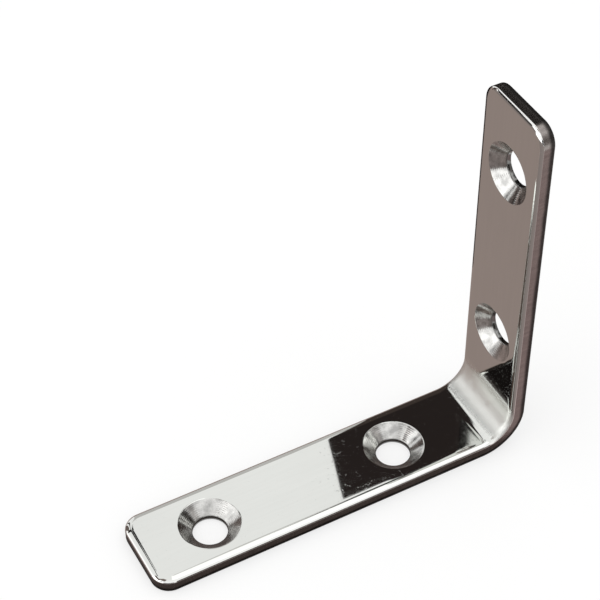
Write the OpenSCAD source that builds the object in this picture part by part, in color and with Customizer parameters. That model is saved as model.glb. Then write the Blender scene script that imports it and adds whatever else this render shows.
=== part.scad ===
// Corner brace bracket: one polished steel strip, bent once to a right angle,
// with two countersunk screw holes in each leg.
//
// The origin is the outer corner, where the planes of the two outer faces meet.
// +X runs along the lying leg, +Z up the standing leg, and Y across the strip,
// whose middle is at Y = 0. The outer faces, at Z = 0 and X = 0, go against the
// two boards. The screws enter from the inner faces.

/* [Strip] */
// Length of the lying leg, from the outer corner to its free end
base_leg = 75; // [60:1:120]
// Length of the standing leg, from the outer corner to its free end
wall_leg = 75; // [60:1:120]
// Width of the strip
strip_w = 17; // [15.5:0.5:25]
// Thickness of the strip
strip_t = 3; // [2.5:0.1:4]
// Inside radius of the bend
bend_r = 5.5; // [3:0.5:8]

/* [Edges] */
// Radius of the rounded corners at the free ends
end_r = 3.5; // [2.5:0.1:5]
// How far the soft edge reaches in across the inner faces
soft_run = 1.4; // [1:0.1:1.8]
// How far the soft edge drops down the side
soft_drop = 0.6; // [0.3:0.1:0.9]
// Radius of the broken edge round the outer faces
back_r = 0.5; // [0.3:0.1:1]

/* [Screw holes] */
// Diameter of the screw holes
hole_d = 6.4; // [5:0.1:7.5]
// Diameter of the countersinks at the inner faces
sink_d = 11.4; // [10:0.1:12]
// Included angle of the countersinks
sink_angle = 100; // [90:1:110]
// From the outer corner to the inner hole of each leg
inner_hole = 23; // [18:0.5:28]
// From the free end of each leg to its outer hole
end_gap = 14; // [10:0.5:18]

/* [Hidden] */
$fn = 96;
// How far a cutting tool runs past the surface that it cuts
over = 1;
// Outside radius of the bend
bend_out = bend_r + strip_t;
// Radius of the soft edge, an arc that starts level with the inner face
soft_r = (pow(soft_run, 2) + pow(soft_drop, 2)) / (2 * soft_drop);
// Depth of a countersink, and how much wider it is one "over" above the face
sink_depth = (sink_d - hole_d) / 2 / tan(sink_angle / 2);
sink_flare = 2 * over * tan(sink_angle / 2);

// Flat profiles have the strip's width along X and its thickness along Y,
// from the outer face at Y = 0 to the inner face at Y = strip_t.

// What the edge at X = edge loses: a soft arc above and a small round below
module edge_trim(edge) {
    translate([edge - soft_run, strip_t - soft_r])
        difference() {
            square(soft_r + over);
            circle(soft_r);
        }
    translate([edge - back_r, back_r])
        difference() {
            translate([0, -back_r - over])
                square(back_r + over);
            circle(back_r);
        }
}

// Section across the whole strip
module strip_section() {
    difference() {
        translate([-strip_w / 2, 0])
            square([strip_w, strip_t]);
        edge_trim(strip_w / 2);
        mirror([1, 0])
            edge_trim(strip_w / 2);
    }
}

// Section of the strip's outermost band, as wide as the end corners' radius
module rim_section() {
    difference() {
        square([end_r, strip_t]);
        edge_trim(end_r);
    }
}

// One quarter turn of the rim, round a corner of the free end
module end_corner() {
    rotate_extrude(angle = 90)
        rim_section();
}

// The flat of one leg, from the bend to its free end, along +X
module leg(length) {
    straight = length - end_r - bend_out;
    end_flat = strip_w - 2 * end_r;
    translate([bend_out, 0, 0])
        rotate([90, 0, 90])
            linear_extrude(straight)
                strip_section();
    translate([length - end_r, 0, 0]) {
        rotate([90, 0, 0])
            linear_extrude(end_flat, center = true)
                rim_section();
        translate([0, end_flat / 2, 0])
            end_corner();
        translate([0, -end_flat / 2, 0])
            rotate([0, 0, -90])
                end_corner();
    }
}

// The quarter bend that joins the two legs
module bend() {
    translate([bend_out, 0, bend_out])
        rotate([90, 0, 0])
            rotate([0, 0, 180])
                rotate_extrude(angle = 90)
                    translate([bend_out, 0])
                        rotate(90)
                            strip_section();
}

// A countersunk screw hole through a leg that lies along X
module screw_hole(x) {
    translate([x, 0, -over])
        cylinder(d = hole_d, h = strip_t + 2 * over);
    translate([x, 0, strip_t - sink_depth])
        cylinder(d1 = hole_d, d2 = sink_d + sink_flare, h = sink_depth + over);
}

// A leg with its two holes
module drilled_leg(length) {
    difference() {
        leg(length);
        screw_hole(inner_hole);
        screw_hole(length - end_gap);
    }
}

// The bracket: the lying leg, the bend, and the standing leg, which is the same
// leg with X and Z exchanged
module bracket() {
    color([0.79, 0.79, 0.78]) {
        drilled_leg(base_leg);
        bend();
        mirror([1, 0, -1])
            drilled_leg(wall_leg);
    }
}

bracket();
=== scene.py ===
from math import asin, cos, pi, radians, sin, sqrt, tan

import bmesh
import bpy
from mathutils import Matrix, Vector


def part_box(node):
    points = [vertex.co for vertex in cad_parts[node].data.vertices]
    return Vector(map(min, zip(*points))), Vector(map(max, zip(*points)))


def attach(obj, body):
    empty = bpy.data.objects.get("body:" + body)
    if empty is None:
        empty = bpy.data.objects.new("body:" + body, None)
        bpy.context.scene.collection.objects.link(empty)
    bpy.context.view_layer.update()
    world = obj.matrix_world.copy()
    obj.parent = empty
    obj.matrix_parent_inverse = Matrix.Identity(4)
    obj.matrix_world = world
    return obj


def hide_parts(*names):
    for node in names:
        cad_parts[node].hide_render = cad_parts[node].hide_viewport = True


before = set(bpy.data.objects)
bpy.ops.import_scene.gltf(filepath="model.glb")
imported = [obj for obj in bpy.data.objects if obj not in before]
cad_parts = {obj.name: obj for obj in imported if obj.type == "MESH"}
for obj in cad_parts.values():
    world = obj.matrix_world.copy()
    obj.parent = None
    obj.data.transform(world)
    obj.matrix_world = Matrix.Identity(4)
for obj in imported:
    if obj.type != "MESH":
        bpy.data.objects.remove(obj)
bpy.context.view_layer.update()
LOW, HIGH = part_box("bracket")

bl_info = {
    "name": "Corner brace bracket",
    "version": (1, 0, 0),
    "blender": (4, 5, 0),
    "location": "3D View > Sidebar > Bracket",
    "description": "Builds a polished steel corner brace bracket and a small studio for it",
    "category": "Add Mesh",
}

# Facets of each round
CORNER_FACETS = 16
SOFT_FACETS = 8
BACK_FACETS = 5
CREASE_FACETS = 3
BEND_FACETS = 40
HOLE_FACETS = 96
WALL_FACETS = 24
FLOOR_FACETS = 96

# Narrow strips of faces beside each round and beside the bend, which keep the flats' shading even
RIM_MARGIN = 0.0003
BEND_MARGIN = 0.0004

# How close two points are when they are one, when they are level, and when they are neighbours
SAME_POINT = 1e-7
SAME_LEVEL = 1e-6
NEARBY = 1e-5

# Places in the bracket's list of materials
FACE, SIDE, SINK, BACK = range(4)

# How far inside its rim a countersink's finish starts, how far below the crease the polish may
# reach, and how much a face there has to look upwards to be polished
SINK_INSET = 0.00002
POLISH_REACH = 0.0001
POLISH_RISE = 0.35


def length(name, text, default):
    return bpy.props.FloatProperty(
        name=name, description=text, default=default, unit="LENGTH", subtype="DISTANCE",
        precision=5)


def share(name, text, default):
    return bpy.props.FloatProperty(
        name=name, description=text, default=default, min=0.0, max=1.0, subtype="FACTOR")


def brightness(name, text, default):
    return bpy.props.FloatProperty(name=name, description=text, default=default, min=0.0)


def colour(name, text, default):
    return bpy.props.FloatVectorProperty(
        name=name, description=text, default=default, size=3, min=0.0, max=2.0, subtype="COLOR")


class BracketSizes(bpy.types.PropertyGroup):
    """Sizes of the strip, its edges and its screw holes"""

    base_leg: length(
        "Lying leg", "From the outer corner to the free end of the lying leg", HIGH.x)
    wall_leg: length(
        "Standing leg", "From the outer corner to the free end of the standing leg", HIGH.z)
    strip_w: length("Strip width", "Width of the strip", HIGH.y - LOW.y)
    strip_t: length("Strip thickness", "Thickness of the strip", 0.003)
    bend_r: length("Bend radius", "Inside radius of the bend", 0.0055)
    end_r: length(
        "End corner radius", "Radius of the rounded corners at the free ends", 0.0035)
    soft_run: length(
        "Soft edge run", "How far the soft edge reaches in across the inner faces", 0.0014)
    soft_drop: length("Soft edge drop", "How far the soft edge drops down the side", 0.0006)
    back_r: length(
        "Back edge radius", "Radius of the broken edge round the outer faces", 0.0005)
    hole_d: length("Hole diameter", "Diameter of the screw holes", 0.0064)
    sink_d: length(
        "Countersink diameter", "Diameter of the countersinks at the inner faces", 0.0114)
    sink_angle: bpy.props.FloatProperty(
        name="Countersink angle", description="Included angle of the countersinks",
        default=radians(100), unit="ROTATION", subtype="ANGLE")
    inner_hole: length(
        "Inner hole", "From the outer corner to the inner hole of each leg", 0.023)
    end_gap: length("End gap", "From the free end of each leg to its outer hole", 0.014)
    crease_r: length(
        "Broken crease", "Width of the small round on the creases and hole rims", 0.00014)


class BracketFinish(bpy.types.PropertyGroup):
    """Colours and polish of the steel"""

    polish: colour(
        "Polished steel", "Colour of the mirror polished faces", (0.775, 0.785, 0.755))
    # The soft edge's colour is lighter than the polish: a painted highlight that brightens its
    # highlight lines
    rim: colour(
        "Highlighted edge", "Colour of the soft edge round the polished faces", (0.92, 0.92, 0.90))
    # The sheared edge's colour is dark for steel: partly the dull sheared metal, partly painted
    # shade
    edge: colour("Sheared edge", "Colour of the sheared side faces", (0.33, 0.30, 0.285))
    turned: colour("Turned countersink", "Colour of the countersinks", (0.74, 0.735, 0.715))
    back: colour("Back faces", "Colour of the brushed outer faces", (0.66, 0.66, 0.645))
    polish_rough: share("Polish roughness", "Roughness of the mirror polished faces", 0.035)
    bend_rough: share("Bend roughness", "Roughness where the strip was bent", 0.45)


class StudioSetup(bpy.types.PropertyGroup):
    """Camera, floor and light"""

    camera_place: bpy.props.FloatVectorProperty(
        name="Camera place", description="Where the camera stands", size=3,
        default=(0.142912, 0.188317, 0.261969), unit="LENGTH", subtype="TRANSLATION")
    camera_turn: bpy.props.FloatVectorProperty(
        name="Camera turn", description="Turn of the camera", size=3,
        default=(radians(45.2161), radians(0.372), radians(151.5206)),
        unit="ROTATION", subtype="EULER")
    lens: bpy.props.FloatProperty(
        name="Lens", description="Focal length of the camera", default=110.23, unit="CAMERA")
    floor: colour("Floor", "Colour of the pale floor", (0.93, 0.93, 0.925))
    floor_glow: share("Floor glow", "How much of the floor is seen as plain white", 0.65)
    key_glow: brightness("Key light", "Brightness that the soft key light adds", 0.35)
    rim_glow: brightness("Rim light", "Brightness that the soft rim light adds", 0.22)
    side_glow: brightness("Side light", "Brightness that the broad side light adds", 0.60)


# The flat strip. It lies along X with its outer faces at Z = 0, and the lying leg is on the +X
# side. The middle of the bend is at X = 0.

def fold_length(sizes):
    """Length of the bend at mid thickness"""
    return (sizes.bend_r + sizes.strip_t / 2) * pi / 2


def on_blank(sizes, along):
    """Place on the flat strip of a point of a leg that is so far from the outer corner"""
    return fold_length(sizes) / 2 + (along - sizes.bend_r - sizes.strip_t)


def faces_of(made):
    return [part for part in made["geom"] if isinstance(part, bmesh.types.BMFace)]


def step_in(bm, faces, inwards, out=0.0):
    """Insets faces as one, and moves them out by the second measure"""
    bmesh.ops.inset_region(
        bm, faces=faces, thickness=inwards, depth=out, use_even_offset=True, use_boundary=True)


def round_over(bm, face, radius, steepest, facets):
    """Rounds a face's border from its steepest slope to level, with a narrow level strip inside"""
    for step in range(facets, 0, -1):
        outer, inner = steepest * step / facets, steepest * (step - 1) / facets
        step_in(
            bm, [face], radius * (sin(outer) - sin(inner)), radius * (cos(inner) - cos(outer)))
    step_in(bm, [face], RIM_MARGIN)


def break_edges(bm, sizes, edges):
    """A small round on sharp edges"""
    bmesh.ops.bevel(
        bm, geom=edges, offset=sizes.crease_r, offset_type="OFFSET", segments=CREASE_FACETS,
        profile=0.5, affect="EDGES", material=-1)


def cut_outline(bm, sizes):
    """The flat outline with its rounded corners, as one face"""
    lying, standing = on_blank(sizes, sizes.base_leg), on_blank(sizes, sizes.wall_leg)
    bmesh.ops.create_grid(bm, x_segments=1, y_segments=1, size=0.5)
    bmesh.ops.scale(bm, vec=(lying + standing, sizes.strip_w, 1), verts=bm.verts)
    bmesh.ops.translate(bm, vec=((lying - standing) / 2, 0, sizes.back_r), verts=bm.verts)
    bmesh.ops.bevel(
        bm, geom=bm.verts[:], offset=sizes.end_r, offset_type="OFFSET", segments=CORNER_FACETS,
        profile=0.5, affect="VERTICES", material=-1)
    return bm.faces[:][0]


def thicken(bm, sizes, outline):
    """Side walls, the soft edge above them and the small round below them"""
    top = faces_of(bmesh.ops.extrude_face_region(bm, geom=[outline]))[0]
    side = sizes.strip_t - sizes.soft_drop - sizes.back_r
    bmesh.ops.translate(bm, vec=(0, 0, side), verts=top.verts)
    bmesh.ops.recalc_face_normals(bm, faces=bm.faces)
    crease = list(top.edges)
    soft_r = (sizes.soft_run ** 2 + sizes.soft_drop ** 2) / (2 * sizes.soft_drop)
    round_over(bm, top, soft_r, asin(sizes.soft_run / soft_r), SOFT_FACETS)
    round_over(bm, outline, sizes.back_r, pi / 2, BACK_FACETS)
    break_edges(bm, sizes, crease)


def score_bend(bm, sizes):
    """Cuts across the strip that let it bend, and one just outside each end of the bend"""
    fold = fold_length(sizes)
    cuts = [fold * (step / BEND_FACETS - 0.5) for step in range(BEND_FACETS + 1)]
    for place in [cuts[0] - BEND_MARGIN, *cuts, cuts[-1] + BEND_MARGIN]:
        bmesh.ops.bisect_plane(
            bm, geom=bm.verts[:] + bm.edges[:] + bm.faces[:], dist=SAME_POINT,
            plane_co=(place, 0, 0), plane_no=(1, 0, 0))


def ring(bm, place, radius, height):
    """A circle's edges, in the same order each time"""
    made = bmesh.ops.create_circle(
        bm, cap_ends=False, segments=HOLE_FACETS, radius=radius,
        matrix=Matrix.Translation((place, 0, height)))
    return list(dict.fromkeys(edge for vert in made["verts"] for edge in vert.link_edges))


def open_flat(bm, side, facing, places, radius, height):
    """Opens round holes in one leg's flat face, and returns their rims"""
    flat = max(
        (face for face in bm.faces
         if face.calc_center_median().x * side > 0
         and abs(face.calc_center_median().z - height) < SAME_LEVEL),
        key=lambda face: face.calc_area())
    border = list(flat.edges)
    bmesh.ops.delete(bm, geom=[flat], context="FACES_ONLY")
    rims = [ring(bm, place, radius, height) for place in places]
    filled = bmesh.ops.triangle_fill(
        bm, edges=border + [edge for rim in rims for edge in rim], use_beauty=True,
        normal=(0, 0, facing))
    step_in(bm, faces_of(filled), RIM_MARGIN)
    return [
        [edge for edge in bm.edges
         if len(edge.link_faces) == 1 and abs(edge.verts[0].co.z - height) < SAME_LEVEL
         and abs(edge.verts[0].co.x - place) < radius + NEARBY]
        for place in places]


def drill(bm, sizes, side, leg):
    """The two countersunk holes of one leg"""
    places = [side * on_blank(sizes, along) for along in (sizes.inner_hole, leg - sizes.end_gap)]
    sink_r, hole_r = sizes.sink_d / 2, sizes.hole_d / 2
    land = sizes.strip_t - (sink_r - hole_r) / tan(sizes.sink_angle / 2)
    rims = open_flat(bm, side, 1, places, sink_r, sizes.strip_t)
    mouths = open_flat(bm, side, -1, places, hole_r, 0.0)
    throats = [ring(bm, place, hole_r, land) for place in places]
    for rim, throat, mouth in zip(rims, throats, mouths):
        bmesh.ops.bridge_loops(bm, edges=rim + throat)
        bmesh.ops.bridge_loops(bm, edges=throat + mouth)
    bmesh.ops.recalc_face_normals(bm, faces=bm.faces)
    break_edges(bm, sizes, [edge for loop in rims + throats + mouths for edge in loop])
    return places


def choose_finishes(bm, sizes, holes):
    """Gives each face of the flat strip its material"""
    crease = sizes.strip_t - sizes.soft_drop
    for face in bm.faces:
        middle = face.calc_center_median()
        reach = min(sqrt((middle.x - place) ** 2 + middle.y ** 2) for place in holes)
        if reach < sizes.sink_d / 2 - SINK_INSET and middle.z > NEARBY:
            face.material_index = SINK
        elif middle.z > crease - POLISH_REACH and face.normal.z > POLISH_RISE:
            face.material_index = FACE
        elif middle.z < NEARBY:
            face.material_index = BACK
        else:
            face.material_index = SIDE
        face.smooth = True


def bend_point(sizes, place):
    """Where a point of the flat strip goes when the strip is bent"""
    fold, out = fold_length(sizes), sizes.bend_r + sizes.strip_t
    if place.x >= fold / 2:
        return Vector((out + place.x - fold / 2, place.y, place.z))
    if place.x <= -fold / 2:
        return Vector((place.z, place.y, out - place.x - fold / 2))
    turn = (0.5 - place.x / fold) * pi / 2
    radius = out - place.z
    return Vector((out - radius * sin(turn), place.y, out - radius * cos(turn)))


def bend_strip(bm, sizes):
    """Keeps each point's place on the flat strip for the finishes, then bends the strip"""
    lay = bm.verts.layers.float_vector.new("strip_lay")
    for vert in bm.verts:
        vert[lay] = vert.co
        vert.co = bend_point(sizes, vert.co)


# The finishes. Their noise lies on the flat strip, so it runs round the bend without a break.

# Nearly all values of a noise texture lie between these
MOST_NOISE = (0.3, 0.7)

# Values of a fine noise along which the specks fade in, and what they add to the roughness
SPECK_NOISE = (0.62, 0.72)
SPECK_ROUGH = 0.11

# Where the bend is duller, with a painted sheen, in halves of the fold from its middle: it fades
# in along the first pair, on the standing leg's side, and out along the second, on the lying leg's
DULL_STANDING = (-1.45, -0.75)
DULL_LYING = (0.10, 0.80)

# Heights between which the sheared side's broken band gives way to the cut one, how ragged the
# border is, and the roughness of each band
BREAK_HEIGHTS = (0.0007, 0.0014)
BREAK_RAGGED = 0.0001
BROKEN_ROUGH = 0.48
CUT_ROUGH = 0.27

# The rings that the cutter leaves in the countersinks, and where the painted shade in the
# throat fades out, from the hole's own radius
RING_PITCH = 0.00035
RING_WOBBLE = 0.00004
THROAT_SHADE_REACH = (-0.0001, 0.0005)


def tint(value, factor=1.0):
    return tuple(part * factor for part in value) + (1.0,)


class Wiring:
    """A new material with one shader, and short ways to add and join nodes"""

    def __init__(self, name, kind="ShaderNodeBsdfPrincipled"):
        self.material = bpy.data.materials.new(name)
        self.material.use_nodes = True
        self.nodes = self.material.node_tree.nodes
        self.nodes.clear()
        self.shader = self.add(kind)
        self.output = self.add("ShaderNodeOutputMaterial", {0: self.shader.outputs[0]})

    def join(self, node, sources):
        """Sets a node's sockets to plain values, or joins them to other nodes"""
        for socket, source in sources.items():
            if isinstance(source, (int, float, tuple)):
                node.inputs[socket].default_value = source
            else:
                self.material.node_tree.links.new(source, node.inputs[socket])

    def add(self, kind, sources=None, **values):
        """A new node with its options, and its sockets set or joined"""
        node = self.nodes.new(kind)
        for name, value in values.items():
            setattr(node, name, value)
        self.join(node, sources or {})
        return node

    def strip_place(self):
        return self.add("ShaderNodeAttribute", attribute_name="strip_lay").outputs["Vector"]

    def split(self, vector):
        return self.add("ShaderNodeSeparateXYZ", {0: vector}).outputs

    def noise(self, vector, scale, detail):
        """Noise of one scale, or of its own scale on each axis"""
        if isinstance(scale, tuple):
            vector = self.add("ShaderNodeMapping", {"Vector": vector, "Scale": scale}).outputs[0]
            scale = 1.0
        return self.add("ShaderNodeTexNoise", {
            "Vector": vector, "Scale": scale, "Detail": detail, "Roughness": 0.55}).outputs[0]

    def spread(self, value, low, high, between=MOST_NOISE, kind="LINEAR"):
        """Runs from low to high while the value runs between two others"""
        return self.add("ShaderNodeMapRange", {
            "Value": value, "From Min": between[0], "From Max": between[1],
            "To Min": low, "To Max": high}, interpolation_type=kind).outputs[0]

    def rise(self, value, start, end):
        return self.spread(value, 0.0, 1.0, (start, end), "SMOOTHSTEP")

    def fall(self, value, start, end):
        return self.spread(value, 1.0, 0.0, (start, end), "SMOOTHSTEP")

    def math(self, operation, first, second=0.0):
        return self.add("ShaderNodeMath", {0: first, 1: second}, operation=operation).outputs[0]

    def mix(self, factor, first, second):
        return self.add(
            "ShaderNodeMix", {0: factor, 6: first, 7: second}, data_type="RGBA").outputs[2]

    def shades(self, noise, value, dark, light, between=MOST_NOISE):
        """A colour between a darker and a lighter shade of itself"""
        return self.mix(
            self.spread(noise, 0.0, 1.0, between), tint(value, dark), tint(value, light))

    def bump(self, height, distance, over=None):
        """A relief, alone or over another one"""
        sources = {"Height": height, "Distance": distance}
        if over is not None:
            sources["Normal"] = over
        return self.add("ShaderNodeBump", sources).outputs[0]

    def steel(self, base, rough, relief):
        self.join(self.shader, {
            "Base Color": base, "Metallic": 1.0, "Roughness": rough, "Normal": relief})
        return self.material


def polished_face(finish, sizes):
    """Mirror polish with faint waviness, fine lines along the strip, specks, and a duller bend"""
    wires = Wiring("mirror_polished_steel")
    place = wires.strip_place()
    along, _, height = wires.split(place)
    waves = wires.noise(place, 70.0, detail=2.0)
    lines = wires.noise(place, (60.0, 2600.0, 2600.0), detail=4.0)
    streaks = wires.noise(place, (90.0, 1500.0, 1500.0), detail=3.0)
    specks = wires.rise(wires.noise(place, 1500.0, detail=2.0), *SPECK_NOISE)

    half_fold = fold_length(sizes) / 2
    in_bend = wires.math(
        "MULTIPLY", wires.rise(along, *(half_fold * part for part in DULL_STANDING)),
        wires.fall(along, *(half_fold * part for part in DULL_LYING)))
    in_rim = wires.fall(
        height, sizes.strip_t - sizes.soft_drop, sizes.strip_t - sizes.soft_drop / 10)

    even = wires.shades(waves, finish.polish, dark=0.97, light=1.0)
    grained = wires.mix(wires.spread(streaks, 0.0, 0.5), even, tint(finish.polish, 0.94))
    # Painted highlight: the soft edge takes the lighter rim colour
    rim_highlighted = wires.mix(in_rim, grained, tint(finish.rim))
    # Painted sheen: the bend's colour is lighter than the polish
    base = wires.mix(in_bend, rim_highlighted, tint(finish.polish, 1.14))

    fine = wires.spread(
        lines, finish.polish_rough * 0.8, finish.polish_rough * 1.5, between=(0.35, 0.75))
    spotted = wires.math("ADD", fine, wires.math("MULTIPLY", specks, SPECK_ROUGH))
    rubbed = wires.math("MULTIPLY", in_bend, wires.spread(streaks, 0.85, 1.15))
    duller = wires.math("MULTIPLY", rubbed, finish.bend_rough - finish.polish_rough)

    wavy = wires.bump(waves, distance=1e-5)
    scored = wires.bump(wires.math("MULTIPLY", streaks, in_bend), distance=1e-6, over=wavy)
    return wires.steel(
        base, wires.math("ADD", spotted, duller), wires.bump(lines, distance=5e-7, over=scored))


def sheared_side(finish):
    """Sheared side: a smoother cut band above and a rougher broken band below, darkened with
    painted shade
    """
    wires = Wiring("sheared_edge_steel")
    place = wires.strip_place()
    ragged = wires.noise(place, (300.0, 300.0, 150.0), detail=4.0)
    drag = wires.noise(place, (3200.0, 3200.0, 300.0), detail=3.0)
    grit = wires.noise(place, 5000.0, detail=3.0)

    height = wires.split(place)[2]
    border = wires.math("ADD", height, wires.spread(ragged, -BREAK_RAGGED, BREAK_RAGGED))
    cut = wires.rise(border, *BREAK_HEIGHTS)
    # Both bands are darkened, partly as sheared metal is and partly with painted shade, the broken
    # band most
    burnished = wires.shades(drag, finish.edge, dark=0.85, light=1.15)
    broken = wires.shades(grit, finish.edge, dark=0.11, light=0.27)
    relief = wires.bump(wires.math("MULTIPLY", drag, cut), distance=1e-5)
    return wires.steel(
        wires.mix(cut, broken, burnished),
        wires.spread(cut, BROKEN_ROUGH, CUT_ROUGH, between=(0.0, 1.0)),
        wires.bump(grit, distance=6e-6, over=relief))


def turned_sink(finish, sizes, holes):
    """Countersink turned by a cutter: fine rings round each hole, painted shade in the throat"""
    wires = Wiring("turned_countersink_steel")
    place = wires.strip_place()
    wobble = wires.noise(place, 350.0, detail=2.0)
    mottle = wires.noise(place, 620.0, detail=3.0)

    reach = None
    for hole in holes:
        other = wires.add(
            "ShaderNodeVectorMath", {0: place, 1: (hole, 0.0, 0.0)},
            operation="DISTANCE").outputs["Value"]
        reach = other if reach is None else wires.math("MINIMUM", reach, other)
    sway = wires.spread(wobble, -RING_WOBBLE, RING_WOBBLE, between=(0.0, 1.0))
    path = wires.math("ADD", reach, sway)
    ridges = wires.math("SINE", wires.math("MULTIPLY", path, 2 * pi / RING_PITCH))

    # Near the hole the countersink's colour is darkened: painted shade in the throat
    outside = wires.rise(reach, *(sizes.hole_d / 2 + part for part in THROAT_SHADE_REACH))
    worn = wires.shades(mottle, finish.turned, dark=0.60, light=1.0, between=(0.36, 0.62))
    return wires.steel(
        wires.mix(outside, tint(finish.turned, 0.22), worn), wires.spread(mottle, 0.13, 0.21),
        wires.bump(wobble, distance=2e-5, over=wires.bump(ridges, distance=2e-6)))


def brushed_back(finish):
    """Outer faces as the strip comes from the mill, with a fine grain along it"""
    wires = Wiring("brushed_back_steel")
    place = wires.strip_place()
    grain = wires.noise(place, (120.0, 3600.0, 3600.0), detail=4.0)
    cloud = wires.noise(place, 110.0, detail=3.0)
    return wires.steel(
        wires.shades(cloud, finish.back, dark=0.92, light=1.04),
        wires.spread(grain, 0.2, 0.34),
        wires.bump(grain, distance=4e-6))


def add_object(name, data):
    thing = bpy.data.objects.new(name, data)
    bpy.context.scene.collection.objects.link(thing)
    return thing


def make_object(name, bm, materials):
    mesh = bpy.data.meshes.new(name)
    bm.to_mesh(mesh)
    bm.free()
    for material in materials:
        mesh.materials.append(material)
    return add_object(name, mesh)


class CORNERBRACE_OT_bracket(bpy.types.Operator):
    """Build the bracket from one flat strip: outline, edges, holes, then the bend"""

    bl_idname = "corner_brace.bracket"
    bl_label = "Build Bracket"

    def execute(self, context):
        sizes, finish = context.scene.bracket_sizes, context.scene.bracket_finish
        bm = bmesh.new()
        outline = cut_outline(bm, sizes)
        thicken(bm, sizes, outline)
        score_bend(bm, sizes)
        holes = drill(bm, sizes, 1, sizes.base_leg) + drill(bm, sizes, -1, sizes.wall_leg)
        bmesh.ops.remove_doubles(bm, verts=bm.verts, dist=SAME_POINT)
        bmesh.ops.recalc_face_normals(bm, faces=bm.faces)
        if bm.calc_volume(signed=True) < 0:
            bmesh.ops.reverse_faces(bm, faces=bm.faces)
        if any(len(edge.link_faces) != 2 for edge in bm.edges):
            raise RuntimeError("the bracket's shell isn't closed")
        choose_finishes(bm, sizes, holes)
        bend_strip(bm, sizes)
        piece = make_object("polished_bracket", bm, [
            polished_face(finish, sizes), sheared_side(finish),
            turned_sink(finish, sizes, holes), brushed_back(finish)])
        weigh = piece.modifiers.new("even_shading", "WEIGHTED_NORMAL")
        weigh.weight = 80
        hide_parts("bracket")
        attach(piece, "root")
        return {"FINISHED"}


def pale_floor(setup):
    """Matt floor that camera and steel see partly as plain white, which keeps its shadow light"""
    wires = Wiring("pale_floor")
    wires.join(wires.shader, {
        "Base Color": tint(setup.floor), "Roughness": 1.0, "Specular IOR Level": 0.0})
    path = wires.add("ShaderNodeLightPath").outputs
    mirrored = wires.math("MAXIMUM", path["Is Glossy Ray"], path["Is Transmission Ray"])
    seen = wires.math("MAXIMUM", path["Is Camera Ray"], mirrored)
    white = wires.add("ShaderNodeEmission", {"Color": WHITE, "Strength": 1.0})
    blend = wires.add("ShaderNodeMixShader", {
        0: wires.math("MULTIPLY", seen, setup.floor_glow), 1: wires.shader.outputs[0],
        2: white.outputs[0]})
    wires.join(wires.output, {0: blend.outputs[0]})
    return wires.material


def oblong(left, right, low, high):
    """Outline of an oblong card"""
    return [(left, low), (right, low), (right, high), (left, high)]


BLACK = (0.006, 0.006, 0.006)
FLOOR_GREY = (0.325, 0.260, 0.240)
WHITE = (1.0, 1.0, 1.0, 1.0)

MILLIMETRE = 0.001
X, Y, Z = Vector((1.0, 0.0, 0.0)), Vector((0.0, 1.0, 0.0)), Vector((0.0, 0.0, 1.0))

# Flat cards near the bracket that only its reflections see. Each plane has a place and two
# directions, and each card on it a name, an outline across and up the plane in millimetres,
# and a colour.
CARDS = [
    # Upright, along the bracket's far side
    (Y * -0.041, X, Z, [
        ("dark_flag",
         [(-300, 46), (14.2, 46), (9.7, 71.3), (-2, 72.2), (-12, 89), (-300, 89)],
         (0.022, 0.017, 0.016)),
        ("low_flag", [(-300, 1), (12, 1), (14.2, 46), (-300, 46)], (0.050, 0.038, 0.034)),
        ("top_flag", oblong(-90, -2, 90, 190), (0.012, 0.010, 0.010)),
    ]),
    # Just above the floor
    (Z * 0.0003, X, Y, [
        ("grey_sheet", oblong(-400, 940, -900, -8.8), FLOOR_GREY),
    ]),
    (Z * 0.0004, X, Y, [
        # Under and round the bracket, a dark card that paints its contact shadow into the
        # reflections
        ("contact_shadow_card", oblong(-20, 76.2, -8.7, 10.8), (0.110, 0.092, 0.086)),
        ("end_sheet", oblong(76.2, 940, -8.7, 10.7), FLOOR_GREY),
        ("dark_apron", oblong(-120, 6, 10.8, 120), (0.500, 0.400, 0.395)),
        ("side_sheet", oblong(6, 940, 10.8, 900), (0.240, 0.205, 0.196)),
    ]),
    # Facing the inner corner, where its double reflections look
    (Vector((0.0943, -0.1135, 0.1481)), Vector((-0.7914, -0.6113, 0.0)),
     Vector((-0.4436, 0.5743, 0.6880)), [
        ("corner_flag", [(-20, 12), (8.6, 10), (16, 10), (16, -10), (-20, -10)],
         (0.010, 0.008, 0.008)),
        ("corner_arm", [(-78, 28), (-14, 9), (-14, -3), (-78, 14)], (0.020, 0.016, 0.016)),
        ("corner_slope", [(-14, -8), (8.5, -8), (-28, -54), (-46, -40)],
         (0.022, 0.018, 0.018)),
        ("corner_tail", [(-46, -40), (-30, -52), (-56, -92), (-72, -80)],
         (0.090, 0.080, 0.078)),
        ("corner_band", [(8.9, 27), (38, 31), (58, 33), (58, 20), (38, 13), (8.9, 12)],
         (0.012, 0.010, 0.010)),
        ("right_panel", [(-350, 78), (-246, 66), (-246, 4), (-350, 4)], (0.020, 0.018, 0.017)),
        ("corner_hem",
         [(4, -6), (14, -12), (38, -60), (58, -110), (72, -190), (52, -190), (38, -110),
          (20, -60)],
         (0.025, 0.020, 0.019)),
    ]),
]

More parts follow.
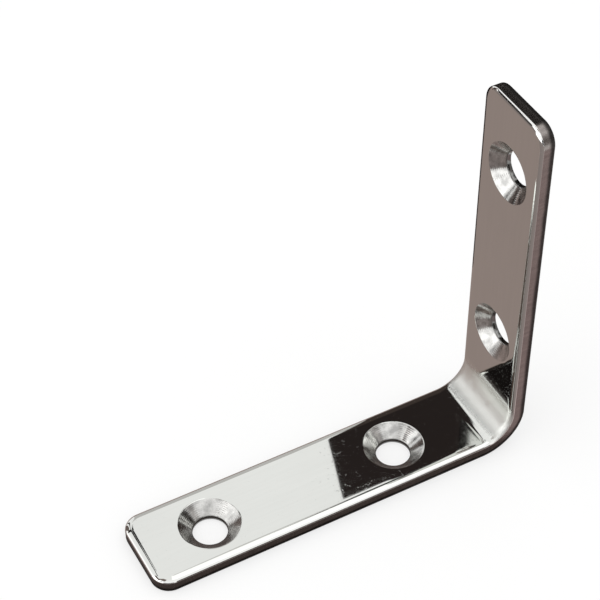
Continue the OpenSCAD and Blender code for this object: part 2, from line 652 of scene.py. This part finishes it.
# Curved walls far round the bracket, also seen by its reflections alone: name, first and last
# compass direction from +Y towards +X, lowest and highest rise above the floor, all in degrees,
# and colour
WALLS = [
    ("right_wall", 5, 56, 2, 29, (0.05, 0.05, 0.053)),
    ("upper_right_wall", 56, 98, 53, 74, (0.22, 0.18, 0.165)),
    ("brown_band", 86, 124, 41, 53, (0.12, 0.09, 0.08)),
    ("right_low_wall", 106, 121, 0, 17, (0.26, 0.215, 0.205)),
    ("low_wall", 121, 143, 0, 15, (0.25, 0.21, 0.20)),
    ("far_right_wall", 143, 160, 0, 38, (0.15, 0.12, 0.11)),
    ("far_wall", 184, 204, 0, 44, (0.58, 0.57, 0.56)),
    ("black_wall", 218, 284, 0, 33, BLACK),
    ("black_band", 262, 296, 34, 60, BLACK),
    ("black_ledge", 236, 262, 33, 43, BLACK),
    ("seam_wall", 206, 246, 56, 69, (0.66, 0.65, 0.64)),
    ("left_wall", 284, 304, 0, 36, (0.05, 0.045, 0.04)),
    ("grey_wall", 304, 330, 0, 44, (0.45, 0.43, 0.42)),
    ("near_wall", 330, 352, 0, 39, (0.05, 0.04, 0.035)),
]
WALL_CENTRE = Vector((0.03, 0.0, 0.003))
WALL_DISTANCE = 0.9

LAMP_CENTRE = Vector((0.03, 0.0, 0.01))
LAMP_DISTANCE = 1.3
FLOOR_RADIUS = 2.5


def compass(direction, rise=0.0):
    """The way to a compass direction from +Y towards +X and a rise, both in degrees"""
    azimuth, height = radians(direction), radians(rise)
    return Vector((sin(azimuth) * cos(height), cos(azimuth) * cos(height), sin(height)))


def show_to_gloss_alone(name, bm, value):
    """Makes a glowing stage piece that nothing but reflections sees"""
    wires = Wiring(name, "ShaderNodeEmission")
    wires.join(wires.shader, {"Color": tint(value)})
    card = make_object(name, bm, [wires.material])
    card.visible_camera = card.visible_diffuse = card.visible_shadow = False
    card.visible_transmission = card.visible_volume_scatter = False


def make_card(name, corners, value):
    bm = bmesh.new()
    posts = [bm.verts.new(corner) for corner in corners]
    edges = [bm.edges.new(pair) for pair in zip(posts, posts[1:] + posts[:1])]
    bmesh.ops.edgeloop_fill(bm, edges=edges)
    show_to_gloss_alone(name, bm, value)


def make_wall(name, first, last, low, high, value):
    bm = bmesh.new()
    start = WALL_CENTRE + compass(first) * WALL_DISTANCE
    ends = [
        bm.verts.new(start + Z * WALL_DISTANCE * tan(radians(rise))) for rise in (low, high)]
    post = bm.edges.new(ends)
    bmesh.ops.spin(
        bm, geom=[post, *ends], cent=WALL_CENTRE, axis=-Z, angle=radians(last - first),
        steps=WALL_FACETS, use_merge=False)
    show_to_gloss_alone(name, bm, value)


def make_lamp(name, direction, rise, width, tall, glow):
    """A soft lamp that faces the bracket and adds so much brightness where it is mirrored"""
    lamp = bpy.data.lights.new(name, "AREA")
    lamp.shape = "RECTANGLE"
    lamp.size, lamp.size_y = width, tall
    lamp.energy = glow * pi * width * tall
    holder = add_object(name, lamp)
    towards = compass(direction, rise)
    holder.location = LAMP_CENTRE + towards * LAMP_DISTANCE
    holder.rotation_euler = towards.to_track_quat("Z", "Y").to_euler()


class CORNERBRACE_OT_studio(bpy.types.Operator):
    """Build the pale floor, the soft light, the cards and the camera"""

    bl_idname = "corner_brace.studio"
    bl_label = "Build Studio"

    def execute(self, context):
        setup = context.scene.studio_setup

        bm = bmesh.new()
        bmesh.ops.create_circle(bm, cap_ends=True, segments=FLOOR_FACETS, radius=FLOOR_RADIUS)
        make_object("floor", bm, [pale_floor(setup)])

        for place, across, up, cards in CARDS:
            for name, outline, value in cards:
                make_card(name, [
                    place + (across * x + up * y) * MILLIMETRE for x, y in outline], value)
        for wall in WALLS:
            make_wall(*wall)

        world = bpy.data.worlds.new("soft_room")
        world.use_nodes = True
        world.node_tree.nodes["Background"].inputs["Color"].default_value = WHITE
        context.scene.world = world

        make_lamp("soft_key", direction=285, rise=68, width=1.1, tall=0.9, glow=setup.key_glow)
        make_lamp("soft_rim", direction=127, rise=14, width=0.65, tall=0.7, glow=setup.rim_glow)
        make_lamp("soft_side", direction=90, rise=22, width=1.4, tall=1.1, glow=setup.side_glow)

        camera = bpy.data.cameras.new("camera")
        camera.lens, camera.sensor_width = setup.lens, 36.0
        camera.clip_start = 0.01
        holder = add_object("camera", camera)
        holder.location, holder.rotation_euler = setup.camera_place, setup.camera_turn
        context.scene.camera = holder
        context.scene.view_settings.view_transform = "Standard"
        return {"FINISHED"}


class CORNERBRACE_PT_panel(bpy.types.Panel):
    """The bracket's sizes, finishes and studio, with their build buttons"""

    bl_idname = "CORNERBRACE_PT_panel"
    bl_label = "Corner Brace Bracket"
    bl_space_type = "VIEW_3D"
    bl_region_type = "UI"
    bl_category = "Bracket"

    def draw(self, context):
        scene = context.scene
        for group, operator in (
                (scene.bracket_sizes, None), (scene.bracket_finish, CORNERBRACE_OT_bracket),
                (scene.studio_setup, CORNERBRACE_OT_studio)):
            box = self.layout.box()
            for name in group.__annotations__:
                box.prop(group, name)
            if operator:
                box.operator(operator.bl_idname)


GROUPS = {
    "bracket_sizes": BracketSizes, "bracket_finish": BracketFinish, "studio_setup": StudioSetup}
CLASSES = (
    *GROUPS.values(), CORNERBRACE_OT_bracket, CORNERBRACE_OT_studio, CORNERBRACE_PT_panel)


def register():
    for cls in CLASSES:
        bpy.utils.register_class(cls)
    for name, group in GROUPS.items():
        setattr(bpy.types.Scene, name, bpy.props.PointerProperty(type=group))


def unregister():
    for name in GROUPS:
        delattr(bpy.types.Scene, name)
    for cls in reversed(CLASSES):
        bpy.utils.unregister_class(cls)


def main():
    register()
    bpy.ops.corner_brace.studio()
    bpy.ops.corner_brace.bracket()


if __name__ == "__main__":
    main()
